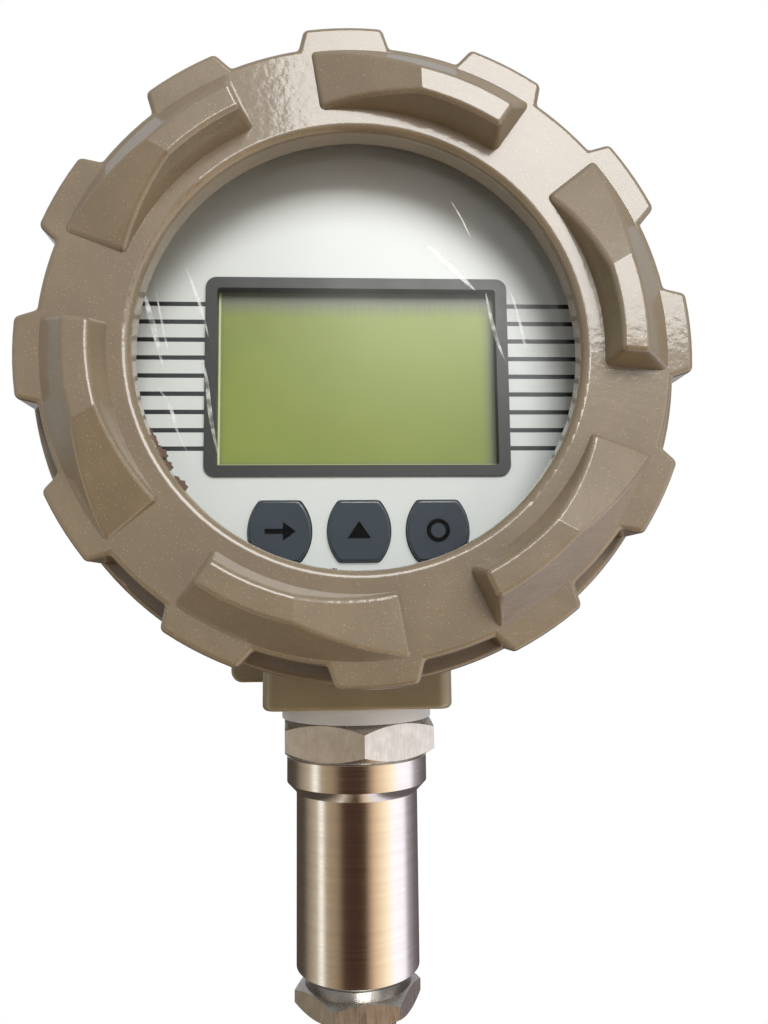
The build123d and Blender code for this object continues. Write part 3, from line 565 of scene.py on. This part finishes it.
def make_stripes():
    """Rows of stripes from the bezel out to the plate's rim, on both sides."""
    bezel_low, bezel_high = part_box("display_bezel")
    plate_low, plate_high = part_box("faceplate")
    radius = (plate_high.x - plate_low.x) / 2 - STRIPE_FROM_RIM
    half = STRIPE_WIDTH / 2
    outlines = []
    for side, bezel_edge in ((-1, bezel_low.x), (1, bezel_high.x)):
        inner = side * (abs(bezel_edge) + STRIPE_FROM_BEZEL)
        for k in range(STRIPE_COUNT):
            z = LIP.z + STRIPE_TOP - k * STRIPE_PITCH
            outer = side * math.sqrt(radius**2 - (abs(z - LIP.z) + STRIPE_WIDTH) ** 2)
            corners = [(inner, z - half), (outer, z - half), (outer, z + half), (inner, z + half)]
            outlines.append(corners[::side])
    face = plate_low.y - PRINT_THICKNESS
    make_sheet("plate_stripes", outlines, face, PRINT_THICKNESS * STRIPE_SINK, "print")


def ring_outlines(outer, inner, count=40):
    """A ring as a row of small quads."""
    made = []
    for k in range(count):
        a, b = 2 * math.pi * k / count, 2 * math.pi * (k + 1) / count
        corners = [(inner, a), (outer, a), (outer, b), (inner, b)]
        made.append([(r * math.cos(t), r * math.sin(t)) for r, t in corners])
    return made


# Generic marks in mm from each key's centre: a step arrow, a triangle and a ring
ARROW = [(-2.6, -0.45), (0.6, -0.45), (0.6, -1.7), (2.9, 0.0), (0.6, 1.7), (0.6, 0.45), (-2.6, 0.45)]
TRIANGLE = [(-2.1, -1.35), (2.1, -1.35), (0.0, 1.75)]
KEY_MARKS = {"left_key": [ARROW], "middle_key": [TRIANGLE], "right_key": ring_outlines(2.1, 1.3)}


def make_key_marks():
    for key, outlines in KEY_MARKS.items():
        low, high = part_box(key)
        x, z = (low.x + high.x) / 2, (low.z + high.z) / 2
        placed = [[(x + px * MM, z + pz * MM) for px, pz in outline] for outline in outlines]
        face = low.y - PRINT_THICKNESS
        make_sheet(key + "_mark", placed, face, PRINT_THICKNESS * MARK_SINK, "key_print", key)


# Folds of the film on the glass, in mm across and up from the window's centre: (points, width)
FILM_FOLDS = (
    (((-37.0, 11.2), (-35.9, 8.0), (-34.9, 4.4), (-34.0, 1.0), (-33.2, -2.6)), 0.75),
    (((-34.6, 10.6), (-33.7, 6.4), (-32.9, 2.4), (-32.1, -0.6)), 0.3),
    (((-34.0, -6.2), (-32.4, -8.4), (-31.3, -11.0), (-30.6, -13.6), (-28.6, -17.8)), 0.42),
    (((-29.6, 14.9), (-28.6, 12.4), (-27.5, 9.4), (-26.4, 6.0), (-25.6, 2.6)), 0.4),
    (((-26.6, -1.2), (-25.8, -5.0), (-25.3, -9.4), (-24.6, -13.8), (-23.6, -18.2)), 0.55),
    (((22.2, 10.8), (22.9, 7.0), (23.9, 2.6), (25.4, -1.6)), 0.5),
    (((26.4, 11.6), (27.5, 8.0), (28.3, 4.4), (29.0, 1.4), (30.8, 0.4)), 0.4),
    (((11.8, 19.5), (14.6, 17.1), (17.6, 14.0), (20.4, 11.2)), 0.8),
    (((16.4, 27.6), (18.2, 24.4), (19.8, 20.8)), 0.2),
)
FILM_GAP = 0.04 * MM
FOLD_STEPS = 6
FOLD_FULLNESS = 0.65
# A fold's width follows a sine arch, less this share of it at each end, so its tips aren't quite sharp
FOLD_TIP = 0.04


def smooth_path(points):
    """Smooth curve through 2-D points, in short steps."""
    ends = [points[0], *points, points[-1]]
    made = []
    for a, b, c, d in zip(ends, ends[1:], ends[2:], ends[3:]):
        for k in range(FOLD_STEPS):
            t = k / FOLD_STEPS
            place = []
            for p, q, r, s in zip(a, b, c, d):
                square = 2 * p - 5 * q + 4 * r - s
                cube = 3 * q - p - 3 * r + s
                place.append(0.5 * (2 * q + (r - p) * t + square * t**2 + cube * t**3))
            made.append(tuple(place))
    return made + [points[-1]]


def make_film_folds():
    """Thin ribbons just in front of the glass, widest at mid length."""
    glass_low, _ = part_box("window_glass")
    outlines = []
    for points, width in FILM_FOLDS:
        path = [Vector(point) for point in smooth_path(points)]
        last = len(path) - 1
        right, left = [], []
        for k, place in enumerate(path):
            run = (path[min(k + 1, last)] - path[max(k - 1, 0)]).normalized()
            half = FOLD_FULLNESS * width * math.sin(math.pi * (FOLD_TIP + (1 - 2 * FOLD_TIP) * k / last))
            across = Vector((-run.y, run.x)) * half
            right.append(place - across)
            left.append(place + across)
        outlines.append([(corner.x * MM, LIP.z + corner.y * MM) for corner in right + left[::-1]])
    face = glass_low.y - FILM_GAP - PRINT_THICKNESS
    make_sheet("film_folds", outlines, face, PRINT_THICKNESS, "crease")


# Shreds of the gasket that show past the lip: (angle round the window in degrees, length and width in mm)
SEAL_SHREDS = ((203.0, 3.4, 0.5), (207.5, 3.0, 1.1), (211.0, 2.6, 0.8), (217.0, 3.2, 0.9), (263.0, 1.6, 0.4))
# One shred's torn edge: (share of half its length, share of its width)
TORN_EDGE = ((-1.0, 0.05), (-0.6, 0.55), (-0.25, 0.4), (0.1, 1.0), (0.45, 0.7), (0.8, 0.85), (1.0, 0.05))
SHRED_PROUD = 0.35 * MM
SHRED_THICKNESS = 0.3 * MM
SHRED_UNDER_LIP = 0.02 * MM


def make_seal_shreds():
    """Torn edge of the red-brown gasket, in front of the glass and against the lip."""
    glass_low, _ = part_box("window_glass")
    outer = LIP_RADIUS + SHRED_UNDER_LIP
    outlines = []
    for angle, length, width in SEAL_SHREDS:
        middle = math.radians(angle)
        half = length * MM / LIP_RADIUS / 2
        torn = [(outer - share * width * MM, middle + along * half) for along, share in TORN_EDGE]
        under_lip = [(outer, middle + along * half) for along, share in TORN_EDGE]
        edge = under_lip + torn[::-1]
        outlines.append([(r * math.cos(t), LIP.z + r * math.sin(t)) for r, t in edge])
    make_sheet("seal_shreds", outlines, glass_low.y - SHRED_PROUD, SHRED_THICKNESS, "seal_red")


# Thread on the plain nose, 16 mm across with a pitch of 1.5 mm; its root lies just inside the nose
NOSE_ROOT = 7.97 * MM
NOSE_CREST = 8.22 * MM
NOSE_PITCH = 1.5 * MM
NOSE_BOTTOM = -10.6 * MM
NOSE_TOP = -0.9 * MM
# The ridge's section: (radius, share of the pitch above its middle)
NOSE_RIDGE = ((NOSE_ROOT, -0.48), (NOSE_CREST, -0.09), (NOSE_CREST, 0.09), (NOSE_ROOT, 0.48))
STEPS_A_TURN = 40
RUN_OUT_STEPS = 12
RUN_OUT_HEIGHT = 0.1


def make_nose_thread():
    """Right-handed helical ridge that runs out at both ends."""
    turns = (NOSE_TOP - NOSE_BOTTOM - NOSE_PITCH) / NOSE_PITCH
    steps = int(turns * STEPS_A_TURN)
    corners = len(NOSE_RIDGE)
    points, faces = [], []
    for k in range(steps + 1):
        angle = 2 * math.pi * k / STEPS_A_TURN
        z = NOSE_BOTTOM + NOSE_PITCH / 2 + NOSE_PITCH * k / STEPS_A_TURN
        height = max(RUN_OUT_HEIGHT, min(1.0, k / RUN_OUT_STEPS, (steps - k) / RUN_OUT_STEPS))
        for radius, rise in NOSE_RIDGE:
            r = NOSE_ROOT + (radius - NOSE_ROOT) * height
            points.append((r * math.cos(angle), r * math.sin(angle), z + rise * NOSE_PITCH))
    for k in range(steps):
        near, far = corners * k, corners * (k + 1)
        for i in range(corners):
            j = (i + 1) % corners
            faces.append((near + i, far + i, far + j, near + j))
    faces.append(tuple(range(corners)))
    faces.append(tuple(corners * steps + i for i in reversed(range(corners))))
    made = make_piece("nose_thread_ridge", points, faces, "stem_steel")
    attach(made, "head")


make_camera()
make_world()
make_lamps()
make_stripes()
make_key_marks()
make_film_folds()
make_seal_shreds()
make_nose_thread()

scene = bpy.context.scene
scene.view_settings.view_transform = "Standard"
